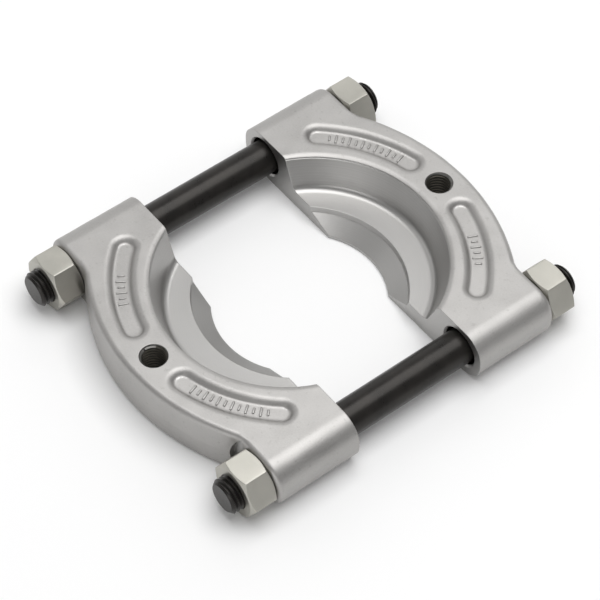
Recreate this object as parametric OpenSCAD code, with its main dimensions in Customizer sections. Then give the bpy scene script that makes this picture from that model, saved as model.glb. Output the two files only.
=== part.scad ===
// Bearing separator: two forged half-ring jaws that close on a bearing from
// both sides. Two studs run through lugs on the jaws, and a nut on each stud
// end pushes its jaw towards the middle. X runs from stud to stud, Y along the
// studs, Z up. The origin is midway between the jaws on the bottom faces.

/* [Jaws] */
// Height of a jaw, bottom face to top face
jaw_h = 25; // [24:0.5:30]
// Distance from the split face to the middle of the tool at rest
half_gap = 32.5; // [20:0.5:40]
// Radius of the outer wall
outer_r = 104.8; // [103:0.1:107]
// How far the outer wall's centre lies behind the split face
outer_back = 47.5; // [46:0.1:49]
// Radius of the round on the outer wall's top edge
outer_round = 3; // [1:0.5:5]
// Radius of the round on the outer wall's bottom edge
foot_round = 2; // [1:0.5:4]

/* [Inner wall and blade] */
// How far the inner wall's centre lies behind the split face
wall_back = 24; // [22:0.5:26]
// Radius of the inner wall where it meets the ledge
wall_foot_r = 51.8; // [50:0.1:53]
// Radius of the inner wall where its top edge starts to round
wall_top_r = 57; // [55:0.1:59]
// Radius of the round on the inner wall's top edge
wall_round = 2; // [1:0.5:4]
// Height of the machined ledge that the bearing rests on
ledge_z = 9; // [7:0.5:11]
// How far the blade's centre lies behind the split face
blade_back = 30; // [28:0.5:32]
// Radius of the ledge's inner edge
blade_top_r = 45.3; // [44:0.1:46]
// Radius of the knife edge
blade_r = 36.5; // [35:0.1:38]
// Thickness of the knife edge
blade_edge = 1.5; // [1:0.1:3]

/* [Lugs] */
// Distance from one stud to the other
stud_spacing = 134; // [130:1:140]
// Length of a lug, split face to nut seat
lug_len = 41.3; // [38:0.1:44]
// Distance from a stud's axis to the lug's outer side
lug_reach = 14; // [13:0.5:16]
// Radius of the lug's outer corners
lug_round = 11; // [8:0.5:12]
// Radius of the plain bore that a stud runs through
stud_bore_r = 9.2; // [8.5:0.1:10]
// Width of the chamfer at the bore's inner mouth
bore_chamfer = 0.9; // [0.3:0.1:1.5]
// Radius of the round pocket that clears a nut's corners
pocket_r = 16; // [15:0.5:17]

/* [Puller holes] */
// Distance from the split face to the threaded hole, and to the recesses' middle line
puller_reach = 44.6; // [43:0.1:46]
// Tapping radius of the threaded hole
puller_r = 5.1; // [4.2:0.1:6]
// Radius of the threaded hole's chamfer at the top
puller_mouth_r = 6.3; // [5.5:0.1:7]

/* [Recesses] */
// How far the recesses' centre lies behind the split face
recess_back = 28; // [26:0.5:30]
// Width of a recess at the top face
recess_w = 10.2; // [8:0.1:12]
// Depth of a recess
recess_depth = 2; // [1:0.1:3]
// Angle from the jaw's middle to the near end of a recess
recess_start = 13.7; // [12:0.1:16]
// Angle from the jaw's middle to the far end of a recess
recess_end = 48.7; // [45:0.1:52]
// Raised plain bars in the long row of marks
bar_count = 12; // [3:1:13]

/* [Studs and nuts] */
// Diameter of a stud
stud_d = 16; // [14:1:16]
// Length of a stud
stud_len = 185; // [180:1:200]
// Length of thread at each end of a stud
thread_len = 52; // [50:1:56]
// Distance across a nut's flats
nut_flats = 24; // [22:1:24]
// Height of a nut
nut_h = 13; // [12:0.5:14]

/* [Hidden] */

$fn = 128;
eps = 0.01;
arc_steps = 6;
stud_x = stud_spacing / 2;
axis_z = jaw_h / 2;

// The outer wall leans in a little above and below the forging's parting line.
parting_z = 12;
draft = 0.5;

// The blade has a steep band under the ledge's inner edge.
band_drop = 2.6;
band_in = 0.5;

// The fillet between the ledge and the inner wall takes this much off each.
fillet_reach = 2.4;
wall_lean = atan2(wall_top_r - wall_foot_r, jaw_h - wall_round - ledge_z);

// The recesses' floor is narrower than their mouth by this much on each side.
recess_slope = 1.8;
recess_r = recess_back + puller_reach;
bar_h = 0.5;
bar_w = 0.9;
bar_len = [4.6, 3];
short_bar_count = 6;

// The recesses' round ends are a hair narrower than the arc, so that no faces are tangent.
cap_shrink = 0.03;

// Threads are plain cylinders just under the stud's full diameter.
thread_relief = 0.05;
stud_chamfer = 1.5;
nut_bore_clearance = 0.05;
nut_seat_gap = 0.1;
nut_chamfer_angle = 30;
nut_face_r = 0.95 * nut_flats / 2;
nut_corner_r = nut_flats / sqrt(3);

// Points of an arc about [x, y], from angle a to angle b
function arc(x, y, r, a, b) =
    [for (i = [0:arc_steps]) let (t = a + (b - a) * i / arc_steps) [x + r * cos(t), y + r * sin(t)]];

module lathe_at(back) {
    translate([0, -back, 0]) rotate_extrude() children();
}

module outer_profile() {
    top_r = outer_r - draft;
    polygon(concat(
        [[0, 0]],
        arc(top_r - foot_round, foot_round, foot_round, -90, 0),
        [[outer_r, parting_z]],
        arc(top_r - outer_round, jaw_h - outer_round, outer_round, 0, 90),
        [[0, jaw_h]]));
}

// The half ring, cut off at the split face and at the studs' axes
module ring_blank() {
    intersection() {
        lathe_at(outer_back) outer_profile();
        translate([-stud_x, 0, 0]) cube([stud_spacing, outer_r, jaw_h]);
    }
}

// Space above the ledge: a fillet at the foot, a leaning wall and a rounded top edge
module wall_cutter() {
    round_x = wall_top_r + wall_round * cos(wall_lean);
    round_z = jaw_h - wall_round;
    lathe_at(wall_back) polygon(concat(
        [[0, ledge_z], [wall_foot_r - fillet_reach, ledge_z]],
        [[wall_foot_r + fillet_reach * sin(wall_lean), ledge_z + fillet_reach * cos(wall_lean)]],
        arc(round_x, round_z, wall_round, 180 - wall_lean, 90),
        [[round_x, jaw_h + 1], [0, jaw_h + 1]]));
}

// Space inside the blade, from the knife edge up to the ledge
module blade_cutter() {
    lathe_at(blade_back) polygon([
        [0, -1], [blade_r, -1], [blade_r, blade_edge],
        [blade_top_r - band_in, ledge_z - band_drop],
        [blade_top_r, ledge_z], [blade_top_r, ledge_z + eps], [0, ledge_z + eps]]);
}

module lug_section() {
    flat = lug_reach - lug_round;
    translate([-lug_reach, 0]) square([lug_reach + flat, jaw_h]);
    translate([flat, lug_round]) square([lug_round, jaw_h - 2 * lug_round]);
    for (z = [lug_round, jaw_h - lug_round]) translate([flat, z]) circle(lug_round);
}

// A lug on the +X side; its square side is buried in the ring
module lug() {
    translate([stud_x, lug_len, 0]) rotate([90, 0, 0]) linear_extrude(lug_len) lug_section();
}

module along_stud(from_y) {
    translate([stud_x, from_y, axis_z]) rotate([-90, 0, 0]) children();
}

module lug_cutter() {
    along_stud(-1) cylinder(h = lug_len + 2, r = stud_bore_r);
    along_stud(-eps) cylinder(h = bore_chamfer, r1 = stud_bore_r + bore_chamfer, r2 = stud_bore_r);
    along_stud(lug_len) cylinder(h = lug_len, r = pocket_r);
}

module puller_cutter() {
    chamfer = puller_mouth_r - puller_r;
    translate([0, puller_reach, -1]) cylinder(h = jaw_h + 2, r = puller_r);
    translate([0, puller_reach, jaw_h - chamfer])
        cylinder(h = chamfer + eps, r1 = puller_r, r2 = puller_mouth_r + eps);
}

// A child placed on the recesses' middle line, turned to follow it
module on_recess_line(angle) {
    translate([0, -recess_back, jaw_h - recess_depth])
        rotate([0, 0, 90 - angle]) translate([recess_r, 0, 0]) children();
}

// Racetrack recess on the +X side of the puller hole
module recess_cutter() {
    half = recess_w / 2;
    floor_half = half - recess_slope;
    cut_h = recess_depth + eps;
    translate([0, -recess_back, jaw_h - recess_depth]) rotate([0, 0, 90 - recess_end])
        rotate_extrude(angle = recess_end - recess_start)
            polygon([[recess_r - floor_half, 0], [recess_r + floor_half, 0],
                     [recess_r + half, cut_h], [recess_r - half, cut_h]]);
    for (angle = [recess_start, recess_end])
        on_recess_line(angle)
            cylinder(h = cut_h, r1 = floor_half - cap_shrink, r2 = half - cap_shrink);
}

// Plain raised bars, long and short in turn, in the middle of a recess
module recess_bars(count) {
    middle = (recess_start + recess_end) / 2;
    pitch = 2.4;
    for (i = [0:count - 1]) {
        length = bar_len[i % 2];
        on_recess_line(middle + pitch * (i - (count - 1) / 2))
            translate([-length / 2, -bar_w / 2, -eps]) cube([length, bar_w, bar_h + eps]);
    }
}

// A jaw with its split face on Y = 0 and its outer wall towards +Y
module jaw() {
    difference() {
        union() {
            ring_blank();
            for (side = [0, 1]) mirror([side, 0, 0]) lug();
        }
        wall_cutter();
        blade_cutter();
        puller_cutter();
        for (side = [0, 1]) mirror([side, 0, 0]) {
            lug_cutter();
            recess_cutter();
        }
    }
    recess_bars(short_bar_count);
    mirror([1, 0, 0]) recess_bars(bar_count);
}

module stud() {
    half = stud_len / 2;
    shank_r = stud_d / 2;
    thread_r = shank_r - thread_relief;
    shank_half = half - thread_len;
    rotate([-90, 0, 0]) rotate_extrude() polygon([
        [0, -half], [thread_r - stud_chamfer, -half], [thread_r, -half + stud_chamfer],
        [thread_r, -shank_half], [shank_r, -shank_half], [shank_r, shank_half],
        [thread_r, shank_half], [thread_r, half - stud_chamfer],
        [thread_r - stud_chamfer, half], [0, half]]);
}

// A hexagon nut with its seat on Z = 0 and both faces chamfered
module nut() {
    rise = (nut_corner_r - nut_face_r) * tan(nut_chamfer_angle);
    difference() {
        intersection() {
            cylinder(h = nut_h, r = nut_corner_r, $fn = 6);
            rotate_extrude() polygon([
                [0, 0], [nut_face_r, 0], [nut_corner_r, rise],
                [nut_corner_r, nut_h - rise], [nut_face_r, nut_h], [0, nut_h]]);
        }
        translate([0, 0, -1]) cylinder(h = nut_h + 2, r = stud_d / 2 + nut_bore_clearance);
    }
}

// side_x is -1 for left and 1 for right
module stud_at(side_x) {
    translate([side_x * stud_x, 0, axis_z]) stud();
}

// side_y is -1 for front and 1 for rear
module nut_at(side_x, side_y) {
    seat_y = half_gap + lug_len + nut_seat_gap;
    translate([side_x * stud_x, side_y * seat_y, axis_z]) rotate([-90 * side_y, 0, 0]) nut();
}

module rear_jaw() {
    color([0.70, 0.70, 0.68]) translate([0, half_gap, 0]) jaw();
}

// The same forging, turned half a turn about Z
module front_jaw() {
    color([0.70, 0.70, 0.68]) rotate([0, 0, 180]) translate([0, half_gap, 0]) jaw();
}

module left_stud() { color([0.12, 0.12, 0.12]) stud_at(-1); }
module right_stud() { color([0.12, 0.12, 0.12]) stud_at(1); }

module front_left_nut() { color([0.78, 0.78, 0.74]) nut_at(-1, -1); }
module front_right_nut() { color([0.78, 0.78, 0.74]) nut_at(1, -1); }
module rear_left_nut() { color([0.78, 0.78, 0.74]) nut_at(-1, 1); }
module rear_right_nut() { color([0.78, 0.78, 0.74]) nut_at(1, 1); }

front_jaw();
rear_jaw();
left_stud();
right_stud();
front_left_nut();
front_right_nut();
rear_left_nut();
rear_right_nut();
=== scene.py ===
import itertools
import math

import bmesh
import bpy
import numpy as np
from mathutils import Matrix, Vector


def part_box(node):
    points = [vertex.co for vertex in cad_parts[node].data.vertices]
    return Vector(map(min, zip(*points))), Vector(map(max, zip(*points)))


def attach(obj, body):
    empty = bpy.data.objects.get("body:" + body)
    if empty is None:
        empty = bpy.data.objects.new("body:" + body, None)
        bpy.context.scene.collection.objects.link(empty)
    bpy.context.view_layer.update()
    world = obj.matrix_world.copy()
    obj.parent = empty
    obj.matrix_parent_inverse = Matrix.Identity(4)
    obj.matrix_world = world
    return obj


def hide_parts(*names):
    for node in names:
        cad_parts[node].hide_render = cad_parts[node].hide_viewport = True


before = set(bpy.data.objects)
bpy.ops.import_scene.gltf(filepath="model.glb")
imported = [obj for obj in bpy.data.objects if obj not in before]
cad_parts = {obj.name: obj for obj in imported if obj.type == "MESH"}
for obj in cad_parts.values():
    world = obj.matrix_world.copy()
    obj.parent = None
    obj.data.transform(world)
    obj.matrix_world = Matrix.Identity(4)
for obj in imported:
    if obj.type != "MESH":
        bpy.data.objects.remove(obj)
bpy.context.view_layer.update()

# Shapes are worked out in millimetres and scaled to the frame's metres at the end.
MM = 0.001
UP = Vector((0, 0, 1))

# ---- Places, from the frame -------------------------------------------------------------------


def node_box(node):
    """(lowest corner, highest corner) of a CAD node, in millimetres."""
    low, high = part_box(node)
    return low / MM, high / MM


rear_low, rear_high = node_box("rear_jaw")
stud_low, stud_high = node_box("right_stud")
HALF_GAP = rear_low.y
JAW_H = rear_high.z
LUG_OUTER_X = rear_high.x
STUD_X = (stud_low.x + stud_high.x) / 2
AXIS_Z = (stud_low.z + stud_high.z) / 2
STUD_R = (stud_high.x - stud_low.x) / 2
STUD_HALF = stud_high.y

# ---- Jaw, in its own axes: split face on y = 0, outer wall towards +y ---------------------------

OUTER_R, OUTER_BACK = 104.8, 47.5
PARTING_Z, DRAFT = 12.0, 0.5
EDGE_ROUND = 2.6
LUG_LEN, LUG_ROUND, LUG_INNER_X = 41.3, 11.0, 53.0
PLAN_FILLET, LUG_CORNER = 1.2, 1.0

WALL_BACK, WALL_FOOT_R, WALL_SLOPE = 24.0, 51.8, 0.371
WALL_FILLET, LEDGE_Z = 3.6, 9.0
# The forged wall stands inside the machined one, so that the cut leaves a crisp line on its rim's round.
FORGED_STOCK, RIM_ROUND = 1.5, 3.4
GROOVE_Z, GROOVE_W, GROOVE_DEPTH = 23.7, 0.6, 0.5

BLADE_BACK, BLADE_TOP_R, BLADE_R, BLADE_EDGE = 30.0, 45.3, 36.5, 1.5
BAND_DROP, BAND_IN = 2.6, 0.5

PULLER_Y, PULLER_R, PULLER_MOUTH_R = 44.6, 5.1, 6.3
PULLER_MAJOR_R, PULLER_PITCH = 6.0, 1.75

STUD_BORE_R, BORE_CHAMFER, POCKET_R = 9.2, 0.9, 16.0

RECESS_BACK, RECESS_R = 28.0, 72.6
RECESS_HALF, RECESS_SLOPE, RECESS_DEPTH = 4.4, 0.8, 2.2
RECESS_START, RECESS_END = math.radians(13.7), math.radians(48.7)
RECESS_ROUND, RECESS_RIM = 0.6, 2.6
BAR_H, BAR_W, BAR_LENGTHS, BAR_PITCH = 0.5, 0.9, (4.6, 3.0), math.radians(2.4)
BAR_ROUND, BAR_ROUND_STEPS = 0.22, 3
LONG_ROW, SHORT_ROW = 12, 6

# How far cutters reach past what they cut: usually, and where there is less room.
CLEAR, NARROW_CLEAR = 3.0, 1.0
# How far inside a lug's bore the cone that chamfers it ends.
BORE_SKIM = 0.01
# Slack in telling a machined face from a forged one, and a face in a bore from the lug's ends.
FORGED_SLACK, BORE_SLACK = 0.05, 0.05
# How much painted shade a puller hole's chamfer gets, where 1 is the shade in the hole itself.
CHAMFER_PAINTED_SHADE = 0.6

# The forging's unevenness: its mean depth and swing, and the lengths of the waves that make it.
UNEVEN_DEPTH, UNEVEN_SWING, UNEVEN_KNEE = 0.08, 0.06, 1.2
WAVES, WAVE_LENGTHS, WAVE_SEED = 14, (9, 34), 11

# Spacing of the forging's surface points, and the room around it that is searched.
GRID, MARGIN, SPLIT_MARGIN = 0.6, 1.5, 3.0
CUT_SEGMENTS, POCKET_SEGMENTS, BORE_SEGMENTS, SLEEVE_SEGMENTS = 192, 128, 96, 48
# Edges shorter than this are closed up after the cuts.
SLIVER = 0.01

# ---- Studs and nuts -----------------------------------------------------------------------------

PITCH = 2.0
FLANK_ANGLE = math.radians(30)
THREAD_LEN, STUD_CHAMFER = 52.0, 1.5
# Radii of the threads, measured from the stud's own.
STUD_CREST_IN, STUD_ROOT_IN = 0.05, 1.23
NUT_ROOT_OUT, NUT_CREST_IN, NUT_CREST_EXTRA = 0.06, 1.05, 0.2
SHANK_TAPER_EXTRA = 0.1

NUT_FLATS, NUT_ROUND = 24.0, 0.5
# Flat ring on a nut's face as a share of its flats, and the angle of its corner chamfer.
NUT_FACE_SHARE, NUT_CHAMFER_ANGLE = 0.95, math.radians(30)
MOUTH_OUT, MOUTH_IN, MOUTH_DEPTH = 1.4, 1.2, 1.2
THREAD_SEGMENTS, NUT_CORNER_STEPS = 64, 4

SMOOTH_ANGLE_JAW, SMOOTH_ANGLE_THREAD = math.radians(32), math.radians(24)


# ---- Signed distances ---------------------------------------------------------------------------


def round_and(a, b, r):
    """Both shapes at once, with the edge where they meet rounded to radius r."""
    corner = np.hypot(np.maximum(a + r, 0), np.maximum(b + r, 0))
    return np.minimum(-r, np.maximum(a, b)) + corner


def round_or(a, b, r):
    """Either shape, with a fillet of radius r where they meet."""
    return -round_and(-a, -b, r)


def cut_away(a, b, r):
    """Shape a without shape b, with the new edge rounded to radius r."""
    return round_and(a, -b, r)


def box_2d(u, v, half_u, half_v, corner):
    """A rounded rectangle about the origin."""
    du, dv = np.abs(u) - half_u + corner, np.abs(v) - half_v + corner
    outside = np.hypot(np.maximum(du, 0), np.maximum(dv, 0))
    return outside + np.minimum(np.maximum(du, dv), 0) - corner


def recess_distance(x, y):
    """Distance in plan from the middle line of the recess on the same side."""
    radius = np.hypot(x, y + RECESS_BACK)
    angle = np.arctan2(np.abs(x), y + RECESS_BACK)
    held = np.clip(angle, RECESS_START, RECESS_END)
    end_x, end_y = RECESS_R * np.sin(held), RECESS_R * np.cos(held) - RECESS_BACK
    to_end = np.hypot(np.abs(x) - end_x, y - end_y)
    return np.where(angle == held, np.abs(radius - RECESS_R), to_end)


def undulation(x, y, z):
    """The slight unevenness of a forged and tumbled surface, always a little inwards."""
    rng = np.random.default_rng(WAVE_SEED)
    total = np.zeros_like(x)
    for _ in range(WAVES):
        direction = rng.normal(size=3)
        direction *= 2 * math.pi / (rng.uniform(*WAVE_LENGTHS) * np.linalg.norm(direction))
        phase = rng.uniform(0, 2 * math.pi)
        total += np.sin(x * direction[0] + y * direction[1] + z * direction[2] + phase)
    return UNEVEN_DEPTH + UNEVEN_SWING * np.tanh(total / math.sqrt(WAVES) / UNEVEN_KNEE)


def forging(x, y, z):
    """Signed distance of the forged blank, before any machining."""
    ring = np.hypot(x, y + OUTER_BACK) - OUTER_R + DRAFT * np.abs(z - PARTING_Z) / PARTING_Z
    lug = round_and(LUG_INNER_X - np.abs(x), y - LUG_LEN, LUG_CORNER)
    plan = round_or(ring, lug, PLAN_FILLET)
    slab = box_2d(x, z - JAW_H / 2, LUG_OUTER_X, JAW_H / 2, LUG_ROUND)
    body = round_and(plan, slab, EDGE_ROUND)

    wall_r = WALL_FOOT_R - FORGED_STOCK + (z - LEDGE_Z) * WALL_SLOPE
    wall = (np.hypot(x, y + WALL_BACK) - wall_r) * math.cos(math.atan(WALL_SLOPE))
    body = cut_away(body, round_and(wall, LEDGE_Z + FORGED_STOCK - z, WALL_FILLET), RIM_ROUND)

    slope = RECESS_SLOPE / RECESS_DEPTH
    side = recess_distance(x, y) - RECESS_HALF + slope * (JAW_H - z)
    side *= math.cos(math.atan(slope))
    recess = round_and(side, JAW_H - RECESS_DEPTH - z, RECESS_ROUND)
    return cut_away(body, recess, RECESS_RIM) + undulation(x, y, z)


def surface_net(distance, low, high, step):
    """Points and quads of a distance function's zero surface."""
    counts = [int(math.ceil((b - a) / step)) + 1 for a, b in zip(low, high)]
    axes = [a + step * np.arange(n) for a, n in zip(low, counts)]
    field = distance(*np.meshgrid(*axes, indexing="ij"))
    inside = field < 0
    offsets = np.array(list(itertools.product((0, 1), repeat=3)))
    cells = tuple(n - 1 for n in counts)

    def corner(values, offset):
        return values[tuple(slice(o, o + n) for o, n in zip(offset, cells))]

    filled = sum(corner(inside, o).astype(np.int8) for o in offsets)
    active = (filled > 0) & (filled < len(offsets))
    cell = np.argwhere(active)
    number = np.full(cells, -1)
    number[active] = np.arange(len(cell))

    total, hits = np.zeros((len(cell), 3)), np.zeros((len(cell), 1))
    values = [corner(field, o)[active][:, None] for o in offsets]
    for (i, a), (j, b) in itertools.combinations(enumerate(offsets), 2):
        if np.abs(a - b).sum() != 1:
            continue
        crossed = (values[i] < 0) != (values[j] < 0)
        share = np.where(crossed, values[i] / np.where(crossed, values[i] - values[j], 1), 0)
        total += crossed * (a + share * (b - a))
        hits += crossed
    points = np.array(low) + step * (cell + total / hits)

    quads = []
    for d in range(3):
        u, v = np.eye(3, dtype=int)[(d + 1) % 3], np.eye(3, dtype=int)[(d + 2) % 3]
        start = tuple(slice(0, -1) if k == d else slice(1, -1) for k in range(3))
        stop = tuple(slice(1, None) if k == d else slice(1, -1) for k in range(3))
        for upward in (True, False):
            turned = inside[start] & ~inside[stop] if upward else ~inside[start] & inside[stop]
            p = np.argwhere(turned) + [0 if k == d else 1 for k in range(3)]
            ring = [p, p - u, p - u - v, p - v]
            quad = np.stack([number[tuple(q.T)] for q in ring], 1)
            quads.append(quad if upward else quad[:, ::-1])
    return points, np.concatenate(quads)


def gradient(distance, points, h=0.02):
    """Gradient of a distance function at each point, and the function's value there."""
    slope = np.stack([distance(*(points + h * e).T) - distance(*(points - h * e).T)
                      for e in np.eye(3)], 1) / (2 * h)
    return slope, distance(*points.T)


def settle(distance, points, rounds=4, least_slope=0.2):
    """Points moved onto a distance function's zero surface."""
    for _ in range(rounds):
        slope, value = gradient(distance, points)
        points = points - slope * (value / np.maximum((slope ** 2).sum(1), least_slope))[:, None]
    return points


# ---- Meshes -------------------------------------------------------------------------------------


def solid(name, points, faces):
    """A mesh object in millimetres."""
    mesh = bpy.data.meshes.new(name)
    mesh.from_pydata([tuple(p) for p in points], [], [tuple(int(i) for i in f) for f in faces])
    mesh.validate()
    piece = bpy.data.objects.new(name, mesh)
    bpy.context.scene.collection.objects.link(piece)
    return piece


def lathe(profile, segments=CUT_SEGMENTS):
    """A turned solid about Z. The profile's (radius, height) points start and end on the axis."""
    turn = 2 * math.pi / segments
    rings = profile[1:-1]
    points = [(r * math.cos(i * turn), r * math.sin(i * turn), z)
              for r, z in rings for i in range(segments)]
    points += [(0, 0, profile[0][1]), (0, 0, profile[-1][1])]
    bottom, top = len(points) - 2, len(points) - 1
    last = (len(rings) - 1) * segments
    faces = []
    for i in range(segments):
        j = (i + 1) % segments
        faces.append((bottom, j, i))
        faces.append((top, last + i, last + j))
        for k in range(0, last, segments):
            faces.append((k + i, k + j, k + segments + j, k + segments + i))
    return solid("turned", points, faces)


def drum(r, low, high, segments=CUT_SEGMENTS):
    """A cylinder about Z."""
    return lathe([(0, low), (r, low), (r, high), (0, high)], segments)


def thread_rod(major_r, minor_r, crest, pitch, low, high, segments=THREAD_SEGMENTS):
    """A right-hand threaded rod about Z, a little longer than asked, for cutting to length.
    Its crest at height 0 faces +X."""
    flank = (major_r - minor_r) * math.tan(FLANK_ANGLE)
    rows = [(major_r, -crest / 2), (major_r, crest / 2),
            (minor_r, crest / 2 + flank), (minor_r, pitch - crest / 2 - flank)]
    first, last = math.floor(low / pitch) - 2, math.ceil(high / pitch) + 2
    line = [(r, z + pitch * n) for n in range(first, last) for r, z in rows]
    points = []
    for r, z in line:
        for i in range(segments):
            turn = i / segments
            points.append((r * math.cos(2 * math.pi * turn), r * math.sin(2 * math.pi * turn),
                           z + pitch * turn))
    step = len(rows)

    def at(row, i):
        return row * segments + i if i < segments else (row + step) * segments

    faces = [(at(k, i), at(k, i + 1), at(k + 1, i + 1), at(k + 1, i))
             for k in range(len(line) - 1) for i in range(segments)
             if i + 1 < segments or k + 1 + step < len(line)]
    top_row = len(line) - 1
    start = [at(0, i) for i in range(segments + 1)] + [k * segments for k in range(step - 1, 0, -1)]
    end = [at(top_row, i) for i in range(segments)]
    end += [at(k, segments - 1) for k in range(top_row - 1, top_row - step - 1, -1)]
    points += [(0, 0, line[0][1] - pitch), (0, 0, line[-1][1] + 2 * pitch)]
    bottom, top = len(points) - 2, len(points) - 1
    faces += [(bottom, b, a) for a, b in zip(start, start[1:] + start[:1])]
    faces += [(top, a, b) for a, b in zip(end, end[1:] + end[:1])]
    return solid("thread", points, faces)


def moved(piece, matrix):
    """A solid after its mesh has been transformed."""
    piece.data.transform(matrix)
    return piece


def combine(piece, other, operation):
    """A boolean of two solids, left in the first one."""
    step = piece.modifiers.new("boolean", "BOOLEAN")
    step.operation = operation
    step.solver = "MANIFOLD"
    step.object = other
    graph = bpy.context.evaluated_depsgraph_get()
    mesh = bpy.data.meshes.new_from_object(piece.evaluated_get(graph))
    piece.modifiers.remove(step)
    old = piece.data
    piece.data = mesh
    bpy.data.meshes.remove(old)
    bpy.data.objects.remove(other)
    return piece


def cut(piece, cutter):
    """The first solid without the second one."""
    return combine(piece, cutter, "DIFFERENCE")


# ---- Jaws ---------------------------------------------------------------------------------------

# Turns a solid made about Z so that it lies along Y. Rod X becomes Z, and the thread stays right-hand.
ALONG_Y = Matrix(((0, 1, 0, 0), (0, 0, 1, 0), (1, 0, 0, 0), (0, 0, 0, 1)))


def bar(length):
    """A raised bar with soft edges, its foot a little below z = 0."""
    box = bmesh.new()
    bmesh.ops.create_cube(box, size=1, matrix=Matrix.Diagonal((length, BAR_W, 2 * BAR_H, 1)))
    bmesh.ops.bevel(box, geom=box.edges[:], offset=BAR_ROUND, segments=BAR_ROUND_STEPS, profile=0.5,
                    affect="EDGES")
    points = [v.co.copy() for v in box.verts]
    faces = [[v.index for v in f.verts] for f in box.faces]
    box.free()
    return points, faces


def bar_row(side, count):
    """A row of plain bars along the middle of one recess, long and short in turn."""
    points, faces = [], []
    middle = (RECESS_START + RECESS_END) / 2
    floor = JAW_H - RECESS_DEPTH
    for i in range(count):
        angle = side * (middle + BAR_PITCH * (i - (count - 1) / 2))
        place = (Matrix.Translation((0, -RECESS_BACK, floor))
                 @ Matrix.Rotation(math.pi / 2 - angle, 4, "Z")
                 @ Matrix.Translation((RECESS_R, 0, 0)))
        bar_points, bar_faces = bar(BAR_LENGTHS[i % 2])
        faces += [[len(points) + k for k in f] for f in bar_faces]
        points += [place @ p for p in bar_points]
    return solid("bars", points, faces)


def forged_blank():
    """The forging as a mesh, reaching a little past the split face."""
    reach = OUTER_R - OUTER_BACK
    low = (-LUG_OUTER_X - MARGIN, -SPLIT_MARGIN, -MARGIN)
    high = (LUG_OUTER_X + MARGIN, reach + MARGIN, JAW_H + MARGIN)

    def closed(x, y, z):
        return np.maximum(forging(x, y, z), -MARGIN - y)

    points, quads = surface_net(closed, low, high, GRID)
    on_forging = points[:, 1] > -1
    points[on_forging] = settle(forging, points[on_forging])
    return solid("jaw", points, quads)


def on_stud_axis(piece, side, y=0):
    """A solid made about Z, laid along the left (-1) or right (1) stud's axis."""
    return moved(piece, Matrix.Translation((side * STUD_X, y, AXIS_Z)) @ ALONG_Y)


def wall_profile(top, fillet_steps=10):
    """The turned inner wall, from the fillet at its foot to a fine groove under its rim and on up."""
    lean, r = math.atan(WALL_SLOPE), WALL_FILLET
    foot = r * math.tan((math.pi / 2 - lean) / 2)
    middle_r, middle_z = WALL_FOOT_R - foot, LEDGE_Z + r
    arc = [(middle_r + r * math.sin(a), middle_z - r * math.cos(a))
           for a in np.linspace(0, math.pi / 2 - lean, fillet_steps)]

    def wall(z):
        return WALL_FOOT_R + (z - LEDGE_Z) * WALL_SLOPE

    low, high = GROOVE_Z - GROOVE_W / 2, GROOVE_Z + GROOVE_W / 2
    groove = [(wall(low), low), (wall(GROOVE_Z) + GROOVE_DEPTH, GROOVE_Z), (wall(high), high)]
    return [(0, LEDGE_Z)] + arc + groove + [(wall(top), top), (0, top)]


def machine(jaw):
    """Everything that is cut into the forging after it is struck."""
    wall = lathe(wall_profile(JAW_H + CLEAR))
    cut(jaw, moved(wall, Matrix.Translation((0, -WALL_BACK, 0))))
    blade = lathe([(0, -CLEAR), (BLADE_R, -CLEAR), (BLADE_R, BLADE_EDGE),
                   (BLADE_TOP_R - BAND_IN, LEDGE_Z - BAND_DROP), (BLADE_TOP_R, LEDGE_Z),
                   (BLADE_TOP_R, LEDGE_Z + NARROW_CLEAR), (0, LEDGE_Z + NARROW_CLEAR)])
    cut(jaw, moved(blade, Matrix.Translation((0, -BLADE_BACK, 0))))

    for side in (-1, 1):
        cut(jaw, on_stud_axis(drum(STUD_BORE_R, -CLEAR, LUG_LEN + CLEAR, BORE_SEGMENTS), side))
        mouth = lathe([(0, -CLEAR), (STUD_BORE_R + BORE_CHAMFER + CLEAR, -CLEAR),
                       (STUD_BORE_R - BORE_SKIM, BORE_CHAMFER), (0, BORE_CHAMFER)], BORE_SEGMENTS)
        cut(jaw, on_stud_axis(mouth, side))
        cut(jaw, on_stud_axis(drum(POCKET_R, 0, LUG_LEN, POCKET_SEGMENTS), side, LUG_LEN))

    to_puller = Matrix.Translation((0, PULLER_Y, 0))
    thread = thread_rod(PULLER_MAJOR_R, PULLER_R, PULLER_PITCH / 4, PULLER_PITCH, -CLEAR, JAW_H + CLEAR)
    sleeve = drum(PULLER_MAJOR_R + NARROW_CLEAR, -CLEAR, JAW_H + CLEAR, SLEEVE_SEGMENTS)
    cut(jaw, moved(combine(thread, sleeve, "INTERSECT"), to_puller))
    chamfer_foot = JAW_H - (PULLER_MOUTH_R - PULLER_R)
    chamfer = lathe([(0, chamfer_foot), (PULLER_R, chamfer_foot),
                     (PULLER_MOUTH_R + CLEAR, JAW_H + CLEAR), (0, JAW_H + CLEAR)], BORE_SEGMENTS)
    cut(jaw, moved(chamfer, to_puller))

    far = 2 * LUG_OUTER_X
    box = [(x, y, z) for x in (-far, far) for y in (-far, 0) for z in (-far, far)]
    sides = [(0, 1, 3, 2), (4, 6, 7, 5), (0, 4, 5, 1), (2, 3, 7, 6), (0, 2, 6, 4), (1, 5, 7, 3)]
    return cut(jaw, solid("split", box, sides))


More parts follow.
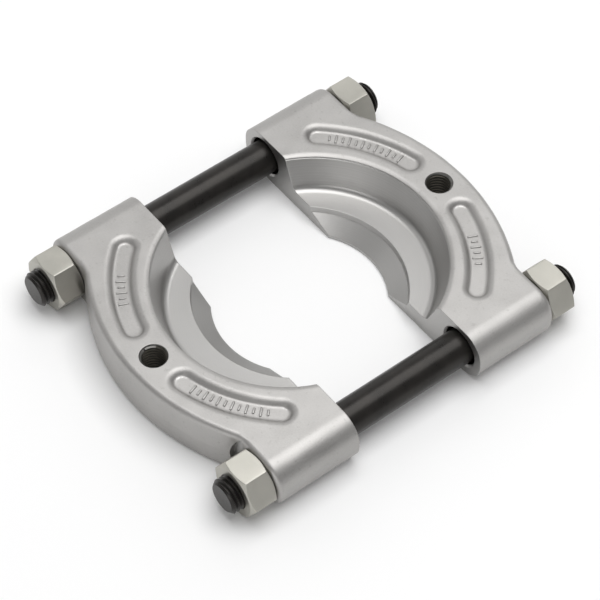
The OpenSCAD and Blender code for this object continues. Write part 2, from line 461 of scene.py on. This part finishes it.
def mark_machined(mesh):
    """Stores on each face whether it was cut (1) or is as forged (0), and how much painted shade it gets
    in the holes.
    """
    centres = np.zeros(len(mesh.polygons) * 3)
    mesh.polygons.foreach_get("center", centres)
    centres = centres.reshape(-1, 3)
    machined = (np.abs(forging(*centres.T)) > FORGED_SLACK).astype(np.float32)
    floor = np.abs(centres[:, 2] - (JAW_H - RECESS_DEPTH + BAR_H)) < BAR_H
    machined[floor & (recess_distance(centres[:, 0], centres[:, 1]) < RECESS_HALF - RECESS_SLOPE)] = 0
    mesh.attributes.new("machined", "FLOAT", "FACE").data.foreach_set("value", machined)
    # Painted shade: the puller hole and the stud bores are fully darkened, and the puller hole's
    # machined chamfer partly, as if little light reached in.
    from_puller = np.hypot(centres[:, 0], centres[:, 1] - PULLER_Y)
    from_stud = np.hypot(np.abs(centres[:, 0]) - STUD_X, centres[:, 2] - AXIS_Z)
    on_chamfer = centres[:, 2] > JAW_H - (PULLER_MOUTH_R - PULLER_R)
    in_puller = (from_puller < PULLER_MAJOR_R) & ~on_chamfer
    puller_mouth = (from_puller < PULLER_MOUTH_R) & on_chamfer & (machined > 0)
    in_lug = np.abs(centres[:, 1] - LUG_LEN / 2) < LUG_LEN / 2 - BORE_SLACK
    in_bore = (from_stud < STUD_BORE_R + BORE_SLACK) & in_lug
    painted_shade = ((in_puller | in_bore) + CHAMFER_PAINTED_SHADE * puller_mouth).astype(np.float32)
    mesh.attributes.new("painted_shade", "FLOAT", "FACE").data.foreach_set("value", painted_shade)


def finish_mesh(piece, name, body, node, material, smooth_angle):
    """Names a piece, scales it to metres, shades it and ties it to the frame."""
    piece.name = piece.data.name = name
    piece.data.transform(Matrix.Scale(MM, 4))
    piece.data.polygons.foreach_set("use_smooth", [True] * len(piece.data.polygons))
    piece.data.set_sharp_from_angle(angle=smooth_angle)
    piece.data.materials.clear()
    piece.data.materials.append(material)
    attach(piece, body)
    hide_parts(node)


def clear_slivers(mesh):
    """Removes the needle-thin faces that booleans leave, which would spoil smooth shading."""
    box = bmesh.new()
    box.from_mesh(mesh)
    bmesh.ops.remove_doubles(box, verts=box.verts, dist=SLIVER)
    bmesh.ops.dissolve_degenerate(box, edges=box.edges, dist=SLIVER)
    box.to_mesh(mesh)
    box.free()


def make_jaws(material):
    """The rear jaw, and the front one as the same forging turned half a turn."""
    blank = machine(forged_blank())
    combine(blank, bar_row(1, SHORT_ROW), "UNION")
    combine(blank, bar_row(-1, LONG_ROW), "UNION")
    clear_slivers(blank.data)
    mark_machined(blank.data)
    other = bpy.data.objects.new("jaw", blank.data.copy())
    bpy.context.scene.collection.objects.link(other)
    outwards = Matrix.Translation((0, HALF_GAP, 0))
    moved(blank, outwards)
    moved(other, Matrix.Rotation(math.pi, 4, "Z") @ outwards)
    for piece, end in ((blank, "rear"), (other, "front")):
        node = end + "_jaw"
        finish_mesh(piece, end + "_forged_jaw", node, node, material, SMOOTH_ANGLE_JAW)


# ---- Studs and nuts -----------------------------------------------------------------------------


def make_stud(side, name, material):
    """A stud with real threads at both ends and a plain shank between them."""
    thread_r, root_r = STUD_R - STUD_CREST_IN, STUD_R - STUD_ROOT_IN
    rod = thread_rod(thread_r, root_r, PITCH / 8, PITCH, -STUD_HALF, STUD_HALF)
    end_r, end_y = thread_r - STUD_CHAMFER, STUD_HALF - STUD_CHAMFER
    ends = [(0, -STUD_HALF), (end_r, -STUD_HALF), (thread_r, -end_y),
            (thread_r, end_y), (end_r, STUD_HALF), (0, STUD_HALF)]
    combine(rod, lathe(ends, THREAD_SEGMENTS), "INTERSECT")
    shank, taper = STUD_HALF - THREAD_LEN, STUD_R - root_r + SHANK_TAPER_EXTRA
    plain = [(0, -shank), (STUD_R - taper, -shank), (STUD_R, taper - shank),
             (STUD_R, shank - taper), (STUD_R - taper, shank), (0, shank)]
    combine(rod, lathe(plain, BORE_SEGMENTS), "UNION")
    on_stud_axis(rod, side)
    finish_mesh(rod, name + "_threaded", "studs", name, material, SMOOTH_ANGLE_THREAD)


def hexagon(flats, corner, low, high):
    """A hexagonal prism about Z with slightly rounded ridges, and flats facing +X and -X."""
    corner_r = (flats / 2 - corner) / math.cos(math.pi / 6)
    outline = []
    for k in range(6):
        middle = math.pi / 6 + k * math.pi / 3
        for i in range(NUT_CORNER_STEPS + 1):
            a = middle + math.pi / 6 * (2 * i / NUT_CORNER_STEPS - 1)
            outline.append((corner_r * math.cos(middle) + corner * math.cos(a),
                            corner_r * math.sin(middle) + corner * math.sin(a)))
    count = len(outline)
    points = [(x, y, low) for x, y in outline] + [(x, y, high) for x, y in outline]
    faces = [tuple(range(count - 1, -1, -1)), tuple(range(count, 2 * count))]
    faces += [(i, (i + 1) % count, count + (i + 1) % count, count + i) for i in range(count)]
    return solid("hexagon", points, faces)


def make_nut(node, material):
    """A hexagon nut with chamfered corners and a real thread, made where its CAD node is."""
    low, high = node_box(node)
    bottom, top = low.y, high.y
    nut = hexagon(NUT_FLATS, NUT_ROUND, bottom, top)
    corner_r, face_r = NUT_FLATS / math.sqrt(3), NUT_FACE_SHARE * NUT_FLATS / 2
    rise = (corner_r - face_r) * math.tan(NUT_CHAMFER_ANGLE)
    combine(nut, lathe([(0, bottom), (face_r, bottom), (corner_r, bottom + rise),
                        (corner_r, top - rise), (face_r, top), (0, top)]), "INTERSECT")
    cut(nut, thread_rod(STUD_R + NUT_ROOT_OUT, STUD_R - NUT_CREST_IN, PITCH / 8 + NUT_CREST_EXTRA,
                        PITCH, bottom, top))
    for end, turn in ((bottom, Matrix.Identity(4)), (top, Matrix.Rotation(math.pi, 4, "X"))):
        mouth = lathe([(0, -NARROW_CLEAR), (STUD_R + MOUTH_OUT, -NARROW_CLEAR),
                       (STUD_R - MOUTH_IN, MOUTH_DEPTH), (0, MOUTH_DEPTH)], BORE_SEGMENTS)
        cut(nut, moved(mouth, Matrix.Translation((0, 0, end)) @ turn))
    on_stud_axis(nut, math.copysign(1, low.x))
    name = node.replace("nut", "hex_nut")
    finish_mesh(nut, name, node, node, material, SMOOTH_ANGLE_THREAD)


# ---- Materials ----------------------------------------------------------------------------------


# Colours, in linear light.
FORGED_DARK, FORGED_PALE = (0.37, 0.361, 0.350), (0.44, 0.430, 0.418)
FORGED_GRAIN, FORGED_PIT = (0.49, 0.480, 0.468), (0.28, 0.275, 0.26)
CUT_DARK, CUT_PALE = (0.40, 0.394, 0.384), (0.44, 0.433, 0.423)
# The second colour here is painted shade, laid in the puller hole and the stud bores where little light
# reaches.
WORN_STEEL, PAINTED_HOLE_SHADE = (0.56, 0.555, 0.54), (0.07, 0.065, 0.055)
OXIDE_DARK, OXIDE_PALE, OXIDE_WORN = (0.016, 0.0145, 0.013), (0.029, 0.026, 0.023), (0.12, 0.115, 0.11)
ZINC_DARK, ZINC_PALE, ZINC_WORN = (0.41, 0.40, 0.362), (0.47, 0.458, 0.415), (0.62, 0.61, 0.56)
PAPER, WHITE = (0.95, 0.95, 0.95), (1.0, 1.0, 1.0)

FORGED_ROUGHNESS, CUT_ROUGHNESS = (0.40, 0.54), (0.32, 0.40)
OXIDE_ROUGHNESS, ZINC_ROUGHNESS, PAPER_ROUGHNESS = (0.25, 0.38), (0.34, 0.48), 0.9

# The stretch that most of a noise's values lie in, and most of the sum of two.
MIDDLE, MIDDLE_OF_SUM = (0.3, 0.7), (0.6, 1.4)


def rgba(colour):
    return (*colour, 1.0)


class Nodes:
    """Short ways to add shader nodes. Noise scales are per metre, and distances are in metres."""

    def __init__(self, name):
        self.material = bpy.data.materials.new(name)
        self.material.use_nodes = True
        self.tree = self.material.node_tree
        self.shader = self.tree.nodes["Principled BSDF"]
        self.place = self.add("ShaderNodeTexCoord").outputs["Object"]

    def add(self, kind, **values):
        node = self.tree.nodes.new(kind)
        for key, value in values.items():
            setattr(node, key, value)
        return node

    def link(self, source, target):
        self.tree.links.new(source, target)

    def feed(self, socket, value):
        if isinstance(value, bpy.types.NodeSocket):
            self.link(value, socket)
        else:
            socket.default_value = value

    def noise(self, scale, detail=3.0, roughness=0.55, place=None):
        node = self.add("ShaderNodeTexNoise")
        self.link(place or self.place, node.inputs["Vector"])
        node.inputs["Scale"].default_value = scale
        node.inputs["Detail"].default_value = detail
        node.inputs["Roughness"].default_value = roughness
        return node.outputs["Fac"]

    def stripes(self, where, scale, detail=4.0):
        node = self.add("ShaderNodeTexNoise", noise_dimensions="1D")
        self.link(where, node.inputs["W"])
        node.inputs["Scale"].default_value = scale
        node.inputs["Detail"].default_value = detail
        return node.outputs["Fac"]

    def math(self, operation, a, b=0.0):
        node = self.add("ShaderNodeMath", operation=operation)
        self.feed(node.inputs[0], a)
        self.feed(node.inputs[1], b)
        return node.outputs[0]

    def span(self, value, low, high, to_low, to_high):
        node = self.add("ShaderNodeMapRange")
        self.feed(node.inputs["Value"], value)
        limits = {"From Min": low, "From Max": high, "To Min": to_low, "To Max": to_high}
        for socket, number in limits.items():
            self.feed(node.inputs[socket], number)
        return node.outputs["Result"]

    def rise(self, value, low, high, top=1):
        """0 up to low, then rising to reach top at high."""
        return self.span(value, low, high, 0, top)

    def mix(self, share, a, b):
        """A blend of two colours."""
        node = self.add("ShaderNodeMix", data_type="RGBA")
        self.feed(node.inputs["Factor"], share)
        for socket, colour in zip([s for s in node.inputs if s.type == "RGBA"], (a, b)):
            self.feed(socket, rgba(colour) if isinstance(colour, tuple) else colour)
        return [s for s in node.outputs if s.type == "RGBA"][0]

    def blend(self, share, a, b):
        """A blend of two numbers."""
        node = self.add("ShaderNodeMix", data_type="FLOAT")
        self.feed(node.inputs["Factor"], share)
        numbers = [s for s in node.inputs if s.type == "VALUE" and s.name != "Factor"]
        for socket, number in zip(numbers, (a, b)):
            self.feed(socket, number)
        return [s for s in node.outputs if s.type == "VALUE"][0]

    def edges(self, radius, gain):
        """0 on open faces, towards 1 on edges that stand out, from the bevelled normal."""
        bevel = self.add("ShaderNodeBevel", samples=6)
        bevel.inputs["Radius"].default_value = radius
        dot = self.add("ShaderNodeVectorMath", operation="DOT_PRODUCT")
        self.link(bevel.outputs["Normal"], dot.inputs[0])
        self.link(self.add("ShaderNodeNewGeometry").outputs["Normal"], dot.inputs[1])
        share = self.math("MULTIPLY", self.math("SUBTRACT", 1.0, dot.outputs["Value"]), gain)
        return self.math("MINIMUM", share, 1.0), bevel.outputs["Normal"]

    def bump(self, height, distance, normal=None, strength=1.0):
        node = self.add("ShaderNodeBump")
        node.inputs["Strength"].default_value = strength
        node.inputs["Distance"].default_value = distance
        self.link(height, node.inputs["Height"])
        if normal is not None:
            self.link(normal, node.inputs["Normal"])
        return node.outputs["Normal"]

    def finish(self, colour, roughness, normal, metallic=1.0):
        """The material, with its shader's sockets filled in."""
        self.feed(self.shader.inputs["Base Color"], colour)
        self.feed(self.shader.inputs["Roughness"], roughness)
        self.feed(self.shader.inputs["Normal"], normal)
        self.shader.inputs["Metallic"].default_value = metallic
        return self.material


def forged_steel():
    """Tumbled satin forging, with brighter turned and milled faces, and painted shade in the puller hole
    and stud bores.
    """
    n = Nodes("forged_steel")
    machined = n.add("ShaderNodeAttribute", attribute_name="machined").outputs["Fac"]
    split = n.add("ShaderNodeSeparateXYZ")
    n.link(n.place, split.inputs["Vector"])
    off_y = n.math("SUBTRACT", n.math("ABSOLUTE", split.outputs["Y"]), (HALF_GAP - WALL_BACK) * MM)
    radius = n.math("SQRT", n.math("ADD", n.math("MULTIPLY", split.outputs["X"], split.outputs["X"]),
                                   n.math("MULTIPLY", off_y, off_y)))
    turned = n.stripes(radius, scale=5200)

    cloud = n.noise(scale=45, detail=4.0)
    grain = n.noise(scale=1400, detail=4.0, roughness=0.65)
    pits = n.rise(n.noise(scale=620, detail=2.0), 0.62, 0.74)
    worn, soft_normal = n.edges(radius=0.0005, gain=6.0)

    tumbled = n.mix(n.rise(cloud, *MIDDLE), FORGED_DARK, FORGED_PALE)
    tumbled = n.mix(n.rise(grain, 0.35, 0.7, top=0.5), tumbled, FORGED_GRAIN)
    tumbled = n.mix(n.math("MULTIPLY", pits, 0.35), tumbled, FORGED_PIT)
    cut_face = n.mix(n.rise(turned, *MIDDLE), CUT_DARK, CUT_PALE)
    colour = n.mix(machined, tumbled, cut_face)
    colour = n.mix(n.math("MULTIPLY", worn, 0.35), colour, WORN_STEEL)
    # Painted shade: faces inside the puller hole and the stud bores, and less so the puller hole's
    # chamfer, blend towards a near-black colour as if little light reached them.
    painted_shade = n.add("ShaderNodeAttribute", attribute_name="painted_shade").outputs["Fac"]
    colour = n.mix(painted_shade, colour, PAINTED_HOLE_SHADE)

    rough_forged = n.span(n.math("ADD", grain, cloud), *MIDDLE_OF_SUM, *FORGED_ROUGHNESS)
    rough_cut = n.span(turned, *MIDDLE, *CUT_ROUGHNESS)
    roughness = n.blend(machined, rough_forged, rough_cut)
    height_forged = n.math("SUBTRACT", grain, n.math("MULTIPLY", pits, 0.6))
    height = n.blend(machined, height_forged, n.math("MULTIPLY", turned, 0.5))
    return n.finish(colour, roughness, n.bump(height, 0.00005, soft_normal, strength=0.6))


def black_oxide():
    """Blackened steel with a thin film of oil, rubbed lighter on thread crests and chamfers."""
    n = Nodes("black_oxide")
    cloud = n.noise(scale=110, detail=4.0)
    grain = n.noise(scale=1700, detail=3.0)
    worn, soft_normal = n.edges(radius=0.00025, gain=3.0)
    colour = n.mix(n.rise(cloud, *MIDDLE), OXIDE_DARK, OXIDE_PALE)
    colour = n.mix(n.math("MULTIPLY", worn, 0.45), colour, OXIDE_WORN)
    roughness = n.span(n.math("ADD", grain, cloud), *MIDDLE_OF_SUM, *OXIDE_ROUGHNESS)
    return n.finish(colour, roughness, n.bump(grain, 0.00003, soft_normal, strength=0.5), metallic=0.6)


def zinc_plate():
    """Satin zinc plating with a faint warm cast."""
    n = Nodes("zinc_plate")
    cloud = n.noise(scale=90, detail=4.0)
    grain = n.noise(scale=1500, detail=4.0, roughness=0.6)
    worn, soft_normal = n.edges(radius=0.0004, gain=5.0)
    colour = n.mix(n.rise(cloud, *MIDDLE), ZINC_DARK, ZINC_PALE)
    colour = n.mix(n.math("MULTIPLY", worn, 0.6), colour, ZINC_WORN)
    roughness = n.span(n.math("ADD", grain, cloud), *MIDDLE_OF_SUM, *ZINC_ROUGHNESS)
    return n.finish(colour, roughness, n.bump(grain, 0.00003, soft_normal, strength=0.5))


def floor_paper():
    """Matt white paper with a faint tooth."""
    n = Nodes("floor_paper")
    n.shader.inputs["Specular IOR Level"].default_value = 0.1
    tooth = n.bump(n.noise(scale=400, detail=2.0), 0.0001, strength=0.2)
    return n.finish(rgba(PAPER), PAPER_ROUGHNESS, tooth, metallic=0.0)


# ---- Stage --------------------------------------------------------------------------------------

FLOOR_HALF, WORLD_STRENGTH = 6000, 0.36

# Soft boxes that face the object: azimuth, elevation, distance and size in metres, and power.
LIGHTS = {
    "overhead": (172, 81, 1.5, (1.35, 1.35), 17),
    "backdrop": (-130, 20, 2.0, (3.6, 1.4), 10),
    "rear_left": (-129, 50, 1.8, (1.5, 1.2), 1.2),
    "left": (-60, 32, 1.8, (1.2, 1.0), 2),
    "front": (25, 12, 1.8, (1.2, 0.5), 4),
}

CAMERA_AZIMUTH, CAMERA_ELEVATION, CAMERA_ROLL = 51.22, 52.07, 0.84
CAMERA_DISTANCE, CAMERA_RIGHT, CAMERA_UP = 1102.7, 0.107, 1.24
CAMERA_LENS, CAMERA_SENSOR, CAMERA_REACH = 152.8, 36.0, 100


def make_floor(material):
    """A wide floor under the object."""
    low, high = -FLOOR_HALF, FLOOR_HALF
    corners = [(low, low, 0), (high, low, 0), (high, high, 0), (low, high, 0)]
    floor = solid("floor", corners, [(0, 1, 2, 3)])
    floor.data.transform(Matrix.Scale(MM, 4))
    floor.data.materials.append(material)


def direction(azimuth, elevation):
    """Unit vector from the object: azimuth 0 is the front (-Y), 90 the right (+X)."""
    a, e = math.radians(azimuth), math.radians(elevation)
    return Vector((math.sin(a) * math.cos(e), -math.cos(a) * math.cos(e), math.sin(e)))


def make_light(name, azimuth, elevation, distance, size, power):
    light = bpy.data.lights.new(name, "AREA")
    light.shape = "RECTANGLE"
    light.size, light.size_y = size
    light.energy = power
    lamp = bpy.data.objects.new(name, light)
    way = direction(azimuth, elevation)
    lamp.location = way * distance
    lamp.rotation_euler = way.to_track_quat("Z", "Y").to_euler()
    bpy.context.scene.collection.objects.link(lamp)


def make_world():
    world = bpy.data.worlds.new("studio")
    world.use_nodes = True
    background = world.node_tree.nodes["Background"]
    background.inputs["Color"].default_value = rgba(WHITE)
    background.inputs["Strength"].default_value = WORLD_STRENGTH
    bpy.context.scene.world = world


def make_camera():
    """The camera looks at the origin, then shifts a little right and up in its own plane."""
    back = direction(CAMERA_AZIMUTH, CAMERA_ELEVATION)
    level = UP.cross(back).normalized()
    upright = back.cross(level)
    roll = math.radians(CAMERA_ROLL)
    right = level * math.cos(roll) + upright * math.sin(roll)
    up = upright * math.cos(roll) - level * math.sin(roll)
    lens = bpy.data.cameras.new("camera")
    lens.lens, lens.sensor_width = CAMERA_LENS, CAMERA_SENSOR
    lens.clip_end = CAMERA_REACH
    camera = bpy.data.objects.new("camera", lens)
    at = (back * CAMERA_DISTANCE + right * CAMERA_RIGHT + up * CAMERA_UP) * MM
    camera.matrix_world = Matrix.Translation(at) @ Matrix((right, up, back)).transposed().to_4x4()
    bpy.context.scene.collection.objects.link(camera)
    bpy.context.scene.camera = camera


make_camera()
make_world()
make_floor(floor_paper())
for name, values in LIGHTS.items():
    make_light(name, *values)

make_jaws(forged_steel())
stud_finish, nut_finish = black_oxide(), zinc_plate()
make_stud(-1, "left_stud", stud_finish)
make_stud(1, "right_stud", stud_finish)
for end, side in itertools.product(("front", "rear"), ("left", "right")):
    make_nut(f"{end}_{side}_nut", nut_finish)

bpy.context.scene.view_settings.view_transform = "Standard"
